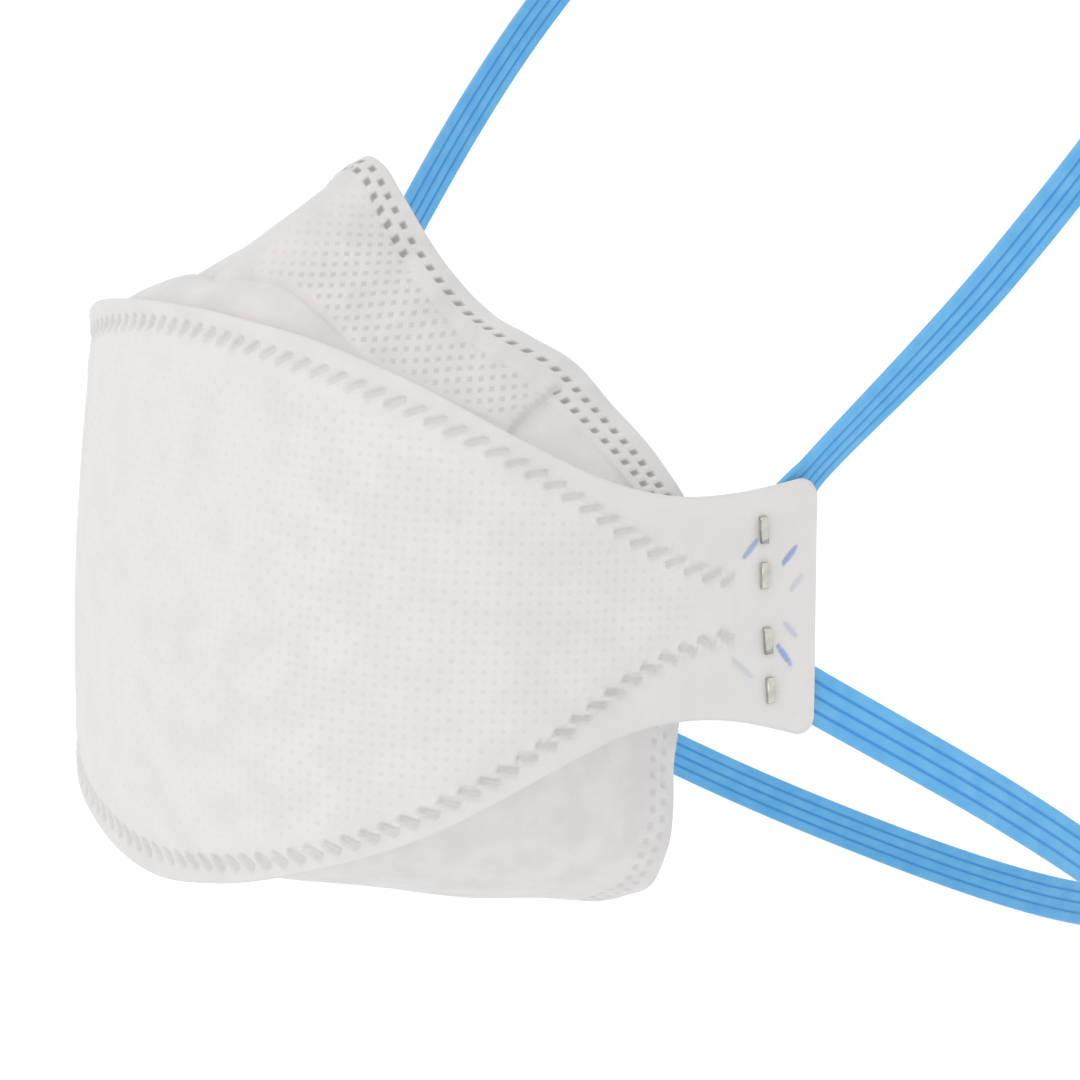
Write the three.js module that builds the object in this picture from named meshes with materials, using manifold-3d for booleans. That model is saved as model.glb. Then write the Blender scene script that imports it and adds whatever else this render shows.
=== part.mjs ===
// Folding respirator mask: a fold-flat half mask opened as it is worn. A tall centre panel wraps
// round the front and ends in a tab on each cheek. A top and a bottom panel are welded behind its
// two long edges and run back to the face. Two elastic head straps are stapled to the tabs.
//
// Millimetres, +Z up. X = 0 is the plane of symmetry, the front of the mask looks along -Y, and
// the origin is the middle of the opening where the mask sits on the face.
// "along" is the distance round the mask, measured on the cloth from the centre line to a tab.

import * as THREE from "three";
import { mergeVertices } from "three/addons/utils/BufferGeometryUtils.js";
import Module from "manifold-3d";

const wasm = await Module();
wasm.setup();

// ---------------------------------------------------------------- driving dimensions

const half_length = 103;       // centre line to the end of a tab, measured on the cloth
const seal_to_front = 46;      // from the middle of the face opening forward to the flange
const cloth = 1.2;             // thickness of the layered cloth
const gap = 0.3;               // clearance between two pieces that touch on the real mask
const tab_corner = 3.2;        // corner radius of the tabs

const belly = 7.3;             // how far the front swells out below its upper edge
const belly_top = 44;          // height where the swell starts
const belly_height = -20;      // height of the greatest swell
const tuck = 3.4;              // how far the wall comes back in under the chin
const tuck_height = 24;        // height over which it does so, below the greatest swell
const swell_reach = 72;        // along, where the swell has died out
const flare = 1.1;             // outward lean of the two flanges at the front
const flange_width = 3.6;      // height of the leaning strip at each edge

const weld_lip = 2;            // strip of the top and bottom panels welded behind the flanges
const panel_end = 88;          // along, where the top and bottom panels end under the tab

const strap_width = 7.4;
const strap_thickness = 1.1;
const strap_corner = 0.35;

const wire_width = 1.3;
const wire_thickness = 0.6;
const clinched_leg = 3.8;
const wire_clearance = 0.25;

const station_step = 4;        // spacing of the mesh stations along the cloth
const strap_steps = 72;        // mesh stations of a strap, end to end

// ---------------------------------------------------------------- tables

function table(columns, ...rows) {
  return Object.fromEntries(columns.map((name, i) => [name, rows.map((row) => row[i])]));
}

// Heights of the edges and weld seams of the centre panel, and the angle its plan has turned.
const centre_sections = table(
  ["along", "turn", "edge_up", "seam_up", "seam_down", "edge_down"],
  [0, 0.0, 41.4, 38.4, -37.6, -41.0],
  [15, 9.3, 40.7, 37.4, -35.9, -38.8],
  [30, 20.5, 38.5, 34.7, -31.9, -34.4],
  [45, 38.0, 33.4, 29.9, -25.4, -28.4],
  [60, 60.5, 25.2, 21.8, -16.6, -20.4],
  [70, 72.0, 20.1, 15.1, -10.1, -16.3],
  [80, 76.8, 17.2, 8.6, -5.0, -14.3],
  [90, 78.6, 16.9, 4.9, -2.7, -15.0],
  [103, 80.3, 18.6, 4.4, -2.4, -18.8],
);

// Free edge of the top panel over the nose and cheek, and how far the panel puffs out.
const top_edge = table(
  ["along", "x", "y", "z", "puff"],
  [0, 0, 33.5, 60.0, 1.2],
  [3.5, 3.2, 33.6, 58.9, 1.2],
  [7.5, 6.1, 33.7, 56.3, 1.4],
  [12, 9.2, 33.9, 53.3, 1.7],
  [18, 13.0, 34.7, 48.4, 2.1],
  [25, 18.0, 35.6, 43.5, 2.4],
  [33, 24.2, 37.3, 38.9, 2.4],
  [41, 31.0, 39.2, 36.1, 2.2],
  [48, 37.2, 41.7, 33.0, 1.8],
  [57, 43.2, 44.1, 26.9, 1.4],
  [65, 48.3, 46.7, 21.3, 1.0],
  [73, 52.6, 49.0, 15.5, 0.7],
  [80, 55.4, 51.0, 9.4, 0.4],
  [88, 57.4, 53.0, 3.4, 0.2],
);

// Free edge of the bottom panel, under the chin and up the cheek.
const bottom_edge = table(
  ["along", "x", "y", "z", "puff"],
  [0, 0, 58.6, -51.9, 1.6],
  [12, 12, 58.4, -51.7, 1.6],
  [24, 23.5, 57.2, -50.5, 1.6],
  [33, 32.3, 55.6, -47.8, 1.6],
  [42, 39.8, 55.0, -43.6, 1.4],
  [50, 43.6, 54.4, -37.4, 1.2],
  [58, 45.8, 53.6, -29.8, 1.0],
  [66, 47.6, 52.4, -22.2, 0.8],
  [76, 51.6, 51.6, -13.0, 0.5],
  [88, 57.8, 52.8, -5.2, 0.2],
);

// Centre line of each strap. "reach" is measured back from the tab in the plane of the strap's
// loop and "half_span" is half the width of the loop there.
const upper_loop = table(
  ["reach", "half_span"],
  [41, 71.6],
  [88, 76.5],
  [130, 68],
  [158, 48],
  [174, 22],
  [178, 0],
);
const lower_loop = table(
  ["reach", "half_span"],
  [42, 65.8],
  [76, 61],
  [100, 46],
  [114, 22],
  [118, 0],
);

// How far the band is turned about its own centre line, to lie flat on the head further back.
const upper_twist = table(
  ["reach", "twist"],
  [3, -22],
  [41, -6],
  [88, -4],
  [130, 0],
);
const lower_twist = table(
  ["reach", "twist"],
  [0, 0],
  [118, 0],
);

// Each strap's run behind the tab, in distances on the tab: where the cut end lies, where the
// staple holds it flat and where it leaves the tab, and how much deeper it is by then; the reach
// over which the band turns from the tab into its loop; the slope of the loop above the level.
const upper_route = {
  start: [92.9, 6.9],
  held: [96.6, 10.7],
  exit: [101.0, 15.3],
  exit_depth: 0.8,
  settle: [-3, 5],
  slope: 48,
  loop: upper_loop,
  twist: upper_twist,
};
const lower_route = {
  start: [95.4, -8.0],
  held: [98.7, -10.0],
  exit: [102.0, -12.0],
  exit_depth: 0,
  settle: [4, 26],
  slope: -31,
  loop: lower_loop,
  twist: lower_twist,
};

// Each staple's two ends on the tab.
const staples = {
  upper: { along: [94.1, 94.5], height: [13.6, 3.3] },
  lower: { along: [94.9, 95.7], height: [-2.1, -13.1] },
};

const sides = { left: 1, right: -1 };

// ---------------------------------------------------------------- reading the tables

const clamp01 = (value) => THREE.MathUtils.clamp(value, 0, 1);

// Smooth curve through one column of a table, level at the centre line unless "odd" is true.
function read(rows, column, along, odd = false) {
  const x = rows.along ?? rows.reach;
  const y = rows[column];
  const last = x.length - 1;
  const position = THREE.MathUtils.clamp(along, x[0], x[last]);
  let i = 0;
  while (i < last - 1 && position > x[i + 1]) i += 1;
  const slope = (k) => {
    if (k === 0) return odd ? (y[1] - y[0]) / (x[1] - x[0]) : 0;
    if (k === last) return (y[k] - y[k - 1]) / (x[k] - x[k - 1]);
    return (y[k + 1] - y[k - 1]) / (x[k + 1] - x[k - 1]);
  };
  const run = x[i + 1] - x[i];
  const t = (position - x[i]) / run;
  const ease = t * t * (3 - 2 * t);
  const lift = t * (1 - t) * run * ((1 - t) * slope(i) - t * slope(i + 1));
  return y[i] + (y[i + 1] - y[i]) * ease + lift;
}

// ---------------------------------------------------------------- centre panel surface

// Plan of the centre panel: the turn is summed up in short steps from the centre line.
const plan_step = 0.25;
const plan = [{ x: 0, y: -seal_to_front }];
for (let walked = 0; walked < half_length + 6; walked += plan_step) {
  const turn = THREE.MathUtils.degToRad(read(centre_sections, "turn", walked + plan_step / 2, true));
  const here = plan.at(-1);
  plan.push({ x: here.x + plan_step * Math.cos(turn), y: here.y + plan_step * Math.sin(turn) });
}

// How far the wall stands out from its plan: the belly, the tuck under the chin and the two
// flanges, which lean outward. All of it dies out towards the tabs.
function swell(along, height) {
  const fade = Math.max(0, 1 - (along / swell_reach) ** 2);
  const rise = clamp01((belly_top - height) / (belly_top - belly_height));
  const under = Math.max(0, belly_height - height) / tuck_height;
  const upper_lean = clamp01(1 - (read(centre_sections, "edge_up", along) - height) / flange_width);
  const lower_lean = clamp01(1 - (height - read(centre_sections, "edge_down", along)) / flange_width);
  const body = belly * Math.sin(rise * Math.PI / 2) - tuck * under * under;
  return fade * (body + flare * (upper_lean + lower_lean));
}

// A point of the centre panel, "depth" behind its outer face. Negative along is the right side.
function wall_point(along, height, depth) {
  const side = along < 0 ? -1 : 1;
  const distance = Math.abs(along);
  const turn = THREE.MathUtils.degToRad(read(centre_sections, "turn", distance, true));
  const index = Math.min(Math.floor(distance / plan_step), plan.length - 2);
  const rest = distance / plan_step - index;
  const x = THREE.MathUtils.lerp(plan[index].x, plan[index + 1].x, rest);
  const y = THREE.MathUtils.lerp(plan[index].y, plan[index + 1].y, rest);
  const push = swell(distance, height) - depth;
  return new THREE.Vector3(side * (x + push * Math.sin(turn)), y - push * Math.cos(turn), height);
}

// ---------------------------------------------------------------- closed bodies

// Closed body of a grid of points: rings[i][j] goes round the section at each station i. The two
// ends are closed by fans about the middle of the end ring.
function lofted_body(rings) {
  const around = rings[0].length;
  const points = rings.flat();
  const faces = [];
  for (let i = 0; i < rings.length - 1; i += 1) {
    for (let j = 0; j < around; j += 1) {
      const a = i * around + j;
      const b = i * around + (j + 1) % around;
      faces.push(a, b, b + around, a, b + around, a + around);
    }
  }
  const half = around / 2;
  const last = (rings.length - 1) * around;
  for (let j = 0; j < half - 1; j += 1) {
    const mirror = around - 1 - j;
    faces.push(j, mirror, mirror - 1, j, mirror - 1, j + 1);
    faces.push(last + j, last + j + 1, last + mirror - 1, last + j, last + mirror - 1, last + mirror);
  }
  const geometry = new THREE.BufferGeometry();
  geometry.setAttribute("position", new THREE.Float32BufferAttribute(points.flatMap((p) => p.toArray()), 3));
  geometry.setIndex(faces);
  return geometry;
}

// Section ring of a sheet: one face from its first edge to its last, and the other face back.
const sheet_ring = (face, other) => [...face, ...other.reverse()];

function solid_from(geometry) {
  const bare = geometry.clone();
  bare.deleteAttribute("normal");
  bare.deleteAttribute("uv");
  const merged = mergeVertices(bare);
  const vertProperties = new Float32Array(merged.attributes.position.array);
  const triVerts = new Uint32Array(merged.index.array);
  return new wasm.Manifold(new wasm.Mesh({ numProp: 3, vertProperties, triVerts }));
}

function geometry_from(solid) {
  const { numProp, vertProperties, triVerts } = solid.getMesh();
  const positions = [];
  for (let i = 0; i < vertProperties.length; i += numProp) positions.push(...vertProperties.slice(i, i + 3));
  const geometry = new THREE.BufferGeometry();
  geometry.setAttribute("position", new THREE.Float32BufferAttribute(positions, 3));
  geometry.setIndex([...triVerts]);
  return geometry;
}

// ---------------------------------------------------------------- panels

// Mesh stations from one end of a panel to the other, closer together round the tab corners.
function stations(reach, corner = 0) {
  const half = [];
  for (let along = 0; along < reach - corner - 1; along += station_step) half.push(along);
  if (corner > 0) {
    for (const angle of [0, 30, 60, 90]) {
      half.push(reach - corner + corner * Math.sin(THREE.MathUtils.degToRad(angle)));
    }
  } else {
    half.push(reach);
  }
  return [...half.slice(1).reverse().map((along) => -along), ...half];
}

// How far a tab's rounded corner takes the edge back.
function corner_drop(along) {
  const past = Math.max(0, Math.abs(along) - (half_length - tab_corner));
  return tab_corner - Math.sqrt(Math.max(0, tab_corner ** 2 - past ** 2));
}

function wall_heights(along) {
  const at = (column) => read(centre_sections, column, Math.abs(along));
  const drop = corner_drop(along);
  const [low, seam_low] = [at("edge_down") + drop, at("seam_down")];
  const [high, seam_high] = [at("edge_up") - drop, at("seam_up")];
  const middle = [0, 0.2, 0.4, 0.6, 0.8, 1].map((t) => THREE.MathUtils.lerp(seam_low, seam_high, t));
  const lower_lean = Math.min(low + flange_width, (low + seam_low) / 2);
  const upper_lean = Math.max(high - flange_width, (high + seam_high) / 2);
  return [low, lower_lean, ...middle, upper_lean, high];
}

function centre_panel() {
  const rings = stations(half_length, tab_corner).map((along) => {
    const heights = wall_heights(along);
    const outer = heights.map((height) => wall_point(along, height, 0));
    const inner = heights.map((height) => wall_point(along, height, cloth));
    return sheet_ring(inner, outer);
  });
  return lofted_body(rings);
}

// Middle surface of the top or bottom panel. "across" runs from -1 at the edge of the welded lip
// through 0 at the fold on the seam to 1 at the free edge.
function panel_point(panel, along, across) {
  const distance = Math.abs(along);
  const side = along < 0 ? -1 : 1;
  const seam = read(centre_sections, panel.seam, distance);
  const behind = cloth + gap + cloth / 2;
  const lip = panel.up * weld_lip * Math.max(0, -across);
  const fold = wall_point(along, seam + lip, behind);
  if (across <= 0) return fold;
  const edge = new THREE.Vector3(
    side * read(panel.edge, "x", distance, true),
    read(panel.edge, "y", distance) - seal_to_front,
    read(panel.edge, "z", distance),
  );
  const puff = read(panel.edge, "puff", distance) * Math.sin(Math.PI * across ** 0.7);
  return fold.lerp(edge, across).add(new THREE.Vector3(0, 0, panel.up * puff));
}

// Point of the panel's outer or inner face: the middle surface moved along its normal.
function panel_face(panel, along, across, shift) {
  const nudge = 0.02;
  const at = (da, dc) => panel_point(panel, along + da, THREE.MathUtils.clamp(across + dc, -1, 1));
  const length_way = at(0.2, 0).sub(at(-0.2, 0));
  const cross_way = at(0, nudge).sub(at(0, -nudge));
  const normal = length_way.cross(cross_way).normalize().multiplyScalar(panel.up);
  return panel_point(panel, along, across).addScaledVector(normal, shift);
}

function folded_panel(panel) {
  const crossings = [-1, 0, 0.1, 0.22, 0.36, 0.52, 0.68, 0.84, 1];
  const rings = stations(panel_end).map((along) => {
    const outer = crossings.map((across) => panel_face(panel, along, across, cloth / 2));
    const inner = crossings.map((across) => panel_face(panel, along, across, -cloth / 2));
    return panel.up > 0 ? sheet_ring(inner, outer) : sheet_ring(outer, inner);
  });
  return lofted_body(rings);
}

const top_panel = { seam: "seam_up", edge: top_edge, up: 1 };
const bottom_panel = { seam: "seam_down", edge: bottom_edge, up: -1 };

// ---------------------------------------------------------------- head straps

// Middle of the strap behind the left tab, "deeper" than where it would lie flat on the cloth.
function strap_on_tab([along, height], deeper = 0) {
  return wall_point(along, height, cloth + gap + strap_thickness / 2 + deeper);
}

// Left half of a strap's centre line, from its cut end on the tab to the back of the head.
function strap_half(route) {
  const start = strap_on_tab(route.start);
  const held = strap_on_tab(route.held);
  const exit = strap_on_tab(route.exit, route.exit_depth);
  const clear = exit.clone().add(exit.clone().sub(held).setLength(strap_width / 2));
  const slope = THREE.MathUtils.degToRad(route.slope);
  const { reach, half_span } = route.loop;
  const loop = reach.map((back, i) => new THREE.Vector3(
    half_span[i],
    exit.y + back * Math.cos(slope),
    exit.z + back * Math.sin(slope),
  ));
  return [start, held, exit, clear, ...loop];
}

const mirrored = (point) => new THREE.Vector3(-point.x, point.y, point.z);

// Outward normal of the band at a point of its centre line: flat on the tab at first, then
// facing out of the loop with the table's twist.
function band_normal(route, point, tangent) {
  const slope = THREE.MathUtils.degToRad(route.slope);
  const upright = new THREE.Vector3(0, -Math.sin(slope), Math.cos(slope));
  const exit = strap_on_tab(route.exit, route.exit_depth);
  const reach = (point.y - exit.y) / Math.cos(slope);
  const side = point.x < 0 ? -1 : 1;
  const outward = upright.clone().cross(tangent).normalize();
  const twist = THREE.MathUtils.degToRad(read(route.twist, "twist", reach));
  outward.applyAxisAngle(tangent, side * twist);
  const turn = THREE.MathUtils.degToRad(read(centre_sections, "turn", route.exit[0], true));
  const from_tab = new THREE.Vector3(side * Math.sin(turn), -Math.cos(turn), 0);
  const settled = clamp01((reach - route.settle[0]) / (route.settle[1] - route.settle[0]));
  const normal = from_tab.lerp(outward, settled * settled * (3 - 2 * settled));
  return normal.addScaledVector(tangent, -normal.dot(tangent)).normalize();
}

function head_strap(route) {
  const left = strap_half(route);
  const right = left.slice(0, -1).map(mirrored);
  const centre_line = new THREE.CatmullRomCurve3([...right, ...left.reverse()], false, "centripetal");
  const half = strap_width / 2;
  const face = strap_thickness / 2;
  const outline = [
    [-half, face - strap_corner],
    [-half + strap_corner, face],
    [half - strap_corner, face],
    [half, face - strap_corner],
  ];
  const rings = Array.from({ length: strap_steps + 1 }, (_, i) => {
    const u = i / strap_steps;
    const point = centre_line.getPointAt(u);
    const tangent = centre_line.getTangentAt(u);
    const normal = band_normal(route, point, tangent);
    const across = tangent.clone().cross(normal);
    const place = (sign) => ([w, n]) => point.clone()
      .addScaledVector(across, w)
      .addScaledVector(normal, sign * n);
    return sheet_ring(outline.map(place(1)), outline.map(place(-1)));
  });
  return lofted_body(rings);
}

// ---------------------------------------------------------------- staples

// Frame of a staple: x along its crown, y inward through the tab, z across the wire.
function staple_frame(staple, side) {
  const [top, low] = [0, 1].map((i) => wall_point(side * staple.along[i], staple.height[i], 0));
  const run = low.clone().sub(top);
  const turn = THREE.MathUtils.degToRad(read(centre_sections, "turn", staple.along[0], true));
  const x = run.clone().normalize();
  const inward = new THREE.Vector3(-side * Math.sin(turn), Math.cos(turn), 0);
  const y = inward.addScaledVector(x, -inward.dot(x)).normalize();
  const z = x.clone().cross(y);
  const matrix = new THREE.Matrix4().makeBasis(x, y, z).setPosition(top);
  return { matrix, span: run.length() };
}

// Flat wire bent round the tab and the strap: the crown lies inside over the strap, and the two
// legs come out through the cloth and are folded down towards each other.
function staple_wire(staple, side) {
  const { matrix, span } = staple_frame(staple, side);
  const outside = -gap - wire_thickness;
  const inside = cloth + strap_thickness + 2 * gap + wire_thickness;
  const shape = new THREE.Shape([
    [clinched_leg, outside],
    [0, outside],
    [0, inside],
    [span, inside],
    [span, outside],
    [span - clinched_leg, outside],
    [span - clinched_leg, -gap],
    [span - wire_thickness, -gap],
    [span - wire_thickness, inside - wire_thickness],
    [wire_thickness, inside - wire_thickness],
    [wire_thickness, -gap],
    [clinched_leg, -gap],
  ].map(([x, y]) => new THREE.Vector2(x, y)));
  const wire = new THREE.ExtrudeGeometry(shape, { depth: wire_width, bevelEnabled: false });
  return wire.translate(0, 0, -wire_width / 2).applyMatrix4(matrix);
}

// The two slots that a staple's legs cut.
function leg_slots(staple, side) {
  const { matrix, span } = staple_frame(staple, side);
  const length = wire_thickness + 2 * wire_clearance;
  const width = wire_width + 2 * wire_clearance;
  const depth = 4 * (cloth + strap_thickness);
  return [wire_thickness / 2, span - wire_thickness / 2].map((x) => {
    const slot = new THREE.BoxGeometry(length, depth, width);
    return slot.translate(x, 0, 0).applyMatrix4(matrix);
  });
}

function with_leg_slots(geometry, used) {
  let solid = solid_from(geometry);
  for (const side of Object.values(sides)) {
    for (const staple of used) {
      for (const slot of leg_slots(staple, side)) solid = solid.subtract(solid_from(slot));
    }
  }
  return geometry_from(solid);
}

// ---------------------------------------------------------------- the mask

const white_cloth = { color: 0xe9e8e5, roughness: 0.9, metalness: 0 };
const soft_cloth = { color: 0xdedad8, roughness: 0.92, metalness: 0 };
const blue_elastic = { color: 0x5faae0, roughness: 0.55, metalness: 0 };
const staple_steel = { color: 0xb9b8b0, roughness: 0.3, metalness: 1 };

const mask = new THREE.Group();

function add_piece(name, geometry, finish) {
  const piece = new THREE.Mesh(geometry, new THREE.MeshStandardMaterial(finish));
  piece.name = name;
  mask.add(piece);
}

add_piece("centre_panel", with_leg_slots(centre_panel(), Object.values(staples)), white_cloth);
add_piece("top_panel", folded_panel(top_panel), soft_cloth);
add_piece("bottom_panel", folded_panel(bottom_panel), soft_cloth);
add_piece("upper_head_strap", with_leg_slots(head_strap(upper_route), [staples.upper]), blue_elastic);
add_piece("lower_head_strap", with_leg_slots(head_strap(lower_route), [staples.lower]), blue_elastic);
for (const [side_name, side] of Object.entries(sides)) {
  for (const [level, staple] of Object.entries(staples)) {
    add_piece(`staple_${side_name}_${level}`, staple_wire(staple, side), staple_steel);
  }
}

export default mask;
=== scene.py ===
"""Folding respirator mask: cloth panels, weld marks, head straps and staples for the frame."""

import math

import bpy
import numpy as np
from bpy.props import FloatProperty, FloatVectorProperty, IntProperty, PointerProperty
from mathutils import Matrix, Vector


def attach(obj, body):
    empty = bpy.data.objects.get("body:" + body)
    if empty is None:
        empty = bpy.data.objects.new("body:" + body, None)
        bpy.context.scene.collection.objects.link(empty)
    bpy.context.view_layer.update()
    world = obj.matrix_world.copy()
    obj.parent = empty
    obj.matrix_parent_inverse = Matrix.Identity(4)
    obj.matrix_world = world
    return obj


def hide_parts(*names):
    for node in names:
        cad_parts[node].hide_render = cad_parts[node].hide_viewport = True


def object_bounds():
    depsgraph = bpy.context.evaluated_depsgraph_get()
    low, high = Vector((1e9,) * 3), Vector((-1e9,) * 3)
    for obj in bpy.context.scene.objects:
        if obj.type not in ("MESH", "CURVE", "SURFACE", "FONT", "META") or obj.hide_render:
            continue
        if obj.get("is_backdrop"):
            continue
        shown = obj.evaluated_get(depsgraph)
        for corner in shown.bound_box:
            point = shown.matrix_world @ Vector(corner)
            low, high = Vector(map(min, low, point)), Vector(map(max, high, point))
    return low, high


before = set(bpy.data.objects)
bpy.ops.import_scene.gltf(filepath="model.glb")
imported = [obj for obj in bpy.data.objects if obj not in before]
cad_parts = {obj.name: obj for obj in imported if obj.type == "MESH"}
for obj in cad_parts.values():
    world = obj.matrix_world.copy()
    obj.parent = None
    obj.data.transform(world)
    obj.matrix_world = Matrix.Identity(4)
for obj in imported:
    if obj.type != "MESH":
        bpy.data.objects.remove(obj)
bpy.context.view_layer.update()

bl_info = {
    "name": "Folding respirator mask",
    "version": (1, 0, 0),
    "blender": (4, 5, 0),
    "location": "3D View > Sidebar > Mask",
    "description": "Builds the finished cloth, straps and staples of a fold-flat half mask",
    "category": "Object",
}

MM = 0.001
BODY = "root"


# ---------------------------------------------------------------- sizes, in millimetres

HALF_LENGTH = 103  # centre line to the end of a tab, measured on the cloth
SEAL_TO_FRONT = 46
CLOTH = 1.2
GAP = 0.3
TAB_CORNER = 3.2

BELLY = 7.3
BELLY_TOP = 44
BELLY_HEIGHT = -20
TUCK = 3.4
TUCK_HEIGHT = 24
SWELL_REACH = 72
FLARE = 1.1
FLANGE_WIDTH = 3.6

WELD_LIP = 2
PANEL_END = 88

# Distance between stations along the cloth, and how many rows of the outer face there are to one
# of the plain inner face.
CENTRE_STEP = 0.36
PANEL_STEP = 0.37
ROWS_TO_INNER = 5

STRAP_WIDTH = 7.4
STRAP_THICKNESS = 1.1
STRAP_ROUNDING = 0.32
GROOVE_WIDTH = 0.2
RIB_CROWN = 0.05
STRAP_STEPS = 300

WIRE_WIDTH = 1.2
WIRE_THICKNESS = 0.6
WIRE_ROUNDING = 0.16
CLINCHED_LEG = 3.8
CLINCH_SINKS = 0.12


def table(columns, *rows):
    """Columns of numbers by their names, from one row for each place."""
    return {name: np.array(column, float) for name, column in zip(columns, zip(*rows))}


# Heights of the edges and weld seams of the centre panel, and the angle its plan has turned.
CENTRE_SECTIONS = table(
    ["along", "turn", "edge_up", "seam_up", "seam_down", "edge_down"],
    [0, 0.0, 41.4, 38.4, -37.6, -41.0],
    [15, 9.3, 40.7, 37.4, -35.9, -38.8],
    [30, 20.5, 38.5, 34.7, -31.9, -34.4],
    [45, 38.0, 33.4, 29.9, -25.4, -28.4],
    [60, 60.5, 25.2, 21.8, -16.6, -20.4],
    [70, 72.0, 20.1, 15.1, -10.1, -16.3],
    [80, 76.8, 17.2, 8.6, -5.0, -14.3],
    [90, 78.6, 16.9, 4.9, -2.7, -15.0],
    [103, 80.3, 18.6, 4.4, -2.4, -18.8],
)

# Free edges of the top and bottom panels, and how far each panel puffs out.
TOP_EDGE = table(
    ["along", "x", "y", "z", "puff"],
    [0, 0, 33.5, 60.0, 1.2],
    [3.5, 3.2, 33.6, 58.9, 1.2],
    [7.5, 6.1, 33.7, 56.3, 1.4],
    [12, 9.2, 33.9, 53.3, 1.7],
    [18, 13.0, 34.7, 48.4, 2.1],
    [25, 18.0, 35.6, 43.5, 2.4],
    [33, 24.2, 37.3, 38.9, 2.4],
    [41, 31.0, 39.2, 36.1, 2.2],
    [48, 37.2, 41.7, 33.0, 1.8],
    [57, 43.2, 44.1, 26.9, 1.4],
    [65, 48.3, 46.7, 21.3, 1.0],
    [73, 52.6, 49.0, 15.5, 0.7],
    [80, 55.4, 51.0, 9.4, 0.4],
    [88, 57.4, 53.0, 3.4, 0.2],
)
BOTTOM_EDGE = table(
    ["along", "x", "y", "z", "puff"],
    [0, 0, 58.6, -51.9, 1.6],
    [12, 12, 58.4, -51.7, 1.6],
    [24, 23.5, 57.2, -50.5, 1.6],
    [33, 32.3, 55.6, -47.8, 1.6],
    [42, 39.8, 55.0, -43.6, 1.4],
    [50, 43.6, 54.4, -37.4, 1.2],
    [58, 45.8, 53.6, -29.8, 1.0],
    [66, 47.6, 52.4, -22.2, 0.8],
    [76, 51.6, 51.6, -13.0, 0.5],
    [88, 57.8, 52.8, -5.2, 0.2],
)

# Centre line of each strap's loop behind the tabs, and how far the band is turned about it.
UPPER_LOOP = table(
    ["reach", "half_span"],
    [41, 71.6],
    [88, 76.5],
    [130, 68],
    [158, 48],
    [174, 22],
    [178, 0],
)
LOWER_LOOP = table(
    ["reach", "half_span"],
    [42, 65.8],
    [76, 61],
    [100, 46],
    [114, 22],
    [118, 0],
)
UPPER_TWIST = table(["reach", "twist"], [3, -22], [41, -6], [88, -4], [130, 0])
LOWER_TWIST = table(["reach", "twist"], [0, 0], [118, 0])

# Places on the tab as (along, height): the cut end, the staple that holds the band flat and the
# way out, how much deeper the band lies there, and the reach over which it turns into its loop.
ROUTES = {
    "upper": {
        "start": (92.9, 6.9), "held": (96.6, 10.7), "exit": (101.0, 15.3), "exit_depth": 0.8,
        "settle": (-3, 5), "slope": 48, "loop": UPPER_LOOP, "twist": UPPER_TWIST,
    },
    "lower": {
        "start": (95.4, -8.0), "held": (98.7, -10.0), "exit": (102.0, -12.0), "exit_depth": 0,
        "settle": (4, 26), "slope": -31, "loop": LOWER_LOOP, "twist": LOWER_TWIST,
    },
}
STAPLES = {
    "upper": {"along": (94.1, 94.5), "height": (13.6, 3.3)},
    "lower": {"along": (94.9, 95.7), "height": (-2.1, -13.1)},
}

# Slanted weld marks along the two seams of the centre panel.
SEAM_WELD = {
    "pitch": 3.05, "length": 3.3, "width": 0.95, "lean": 38.0, "rounding": 0.8,
    "first": -2.0, "last": 90.5,
}

# Rows of square weld marks along the nose edge: how far in from the free edge each row runs, the
# spacing of its marks measured along the cloth, how much longer they are across the row, and the
# width of the padded nose band.
NOSE_ROWS = table(
    ["along", "outer_in", "inner_in", "inner_shows", "spacing", "longer", "band"],
    [0, 1.7, 3.6, 1, 2.75, 1.0, 5.0],
    [8, 2.3, 4.4, 1, 2.75, 1.0, 5.0],
    [17, 3.1, 5.4, 1, 2.75, 1.0, 5.6],
    [20, 3.2, 5.7, 0, 2.75, 1.1, 6.4],
    [28, 4.4, 6.8, 0, 2.70, 1.6, 8.4],
    [38, 6.2, 8.4, 0, 2.40, 1.7, 11.8],
    [42, 6.5, 8.6, 0, 2.25, 1.7, 12.6],
    [48, 5.5, 8.3, 0, 2.10, 1.6, 12.0],
    [51, 5.1, 8.1, 0, 2.0, 1.45, 11.4],
    [53, 4.9, 8.0, 1, 1.95, 1.35, 11.0],
    [61, 4.4, 7.6, 1, 1.95, 1.3, 10.4],
    [68, 3.9, 6.5, 1, 1.95, 1.3, 9.2],
    [76, 2.6, 5.0, 1, 1.95, 1.3, 7.6],
)
NOSE_WELD = {"pitch": 2.7, "length": 1.1, "width": 1.1, "lean": 90.0, "rounding": 0.45}

# The same for the fainter marks along the chin edge.
CHIN_ROWS = table(
    ["along", "outer_in", "inner_in", "spacing"],
    [0, 3.0, 5.2, 2.75],
    [42, 3.2, 5.4, 2.75],
    [50, 2.9, 5.3, 2.70],
    [56, 2.6, 5.1, 2.75],
    [64, 3.3, 5.9, 2.75],
    [72, 4.2, 6.9, 2.75],
)
CHIN_WELD = {"pitch": 2.75, "length": 1.3, "width": 1.2, "lean": 90.0, "rounding": 0.5}

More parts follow.
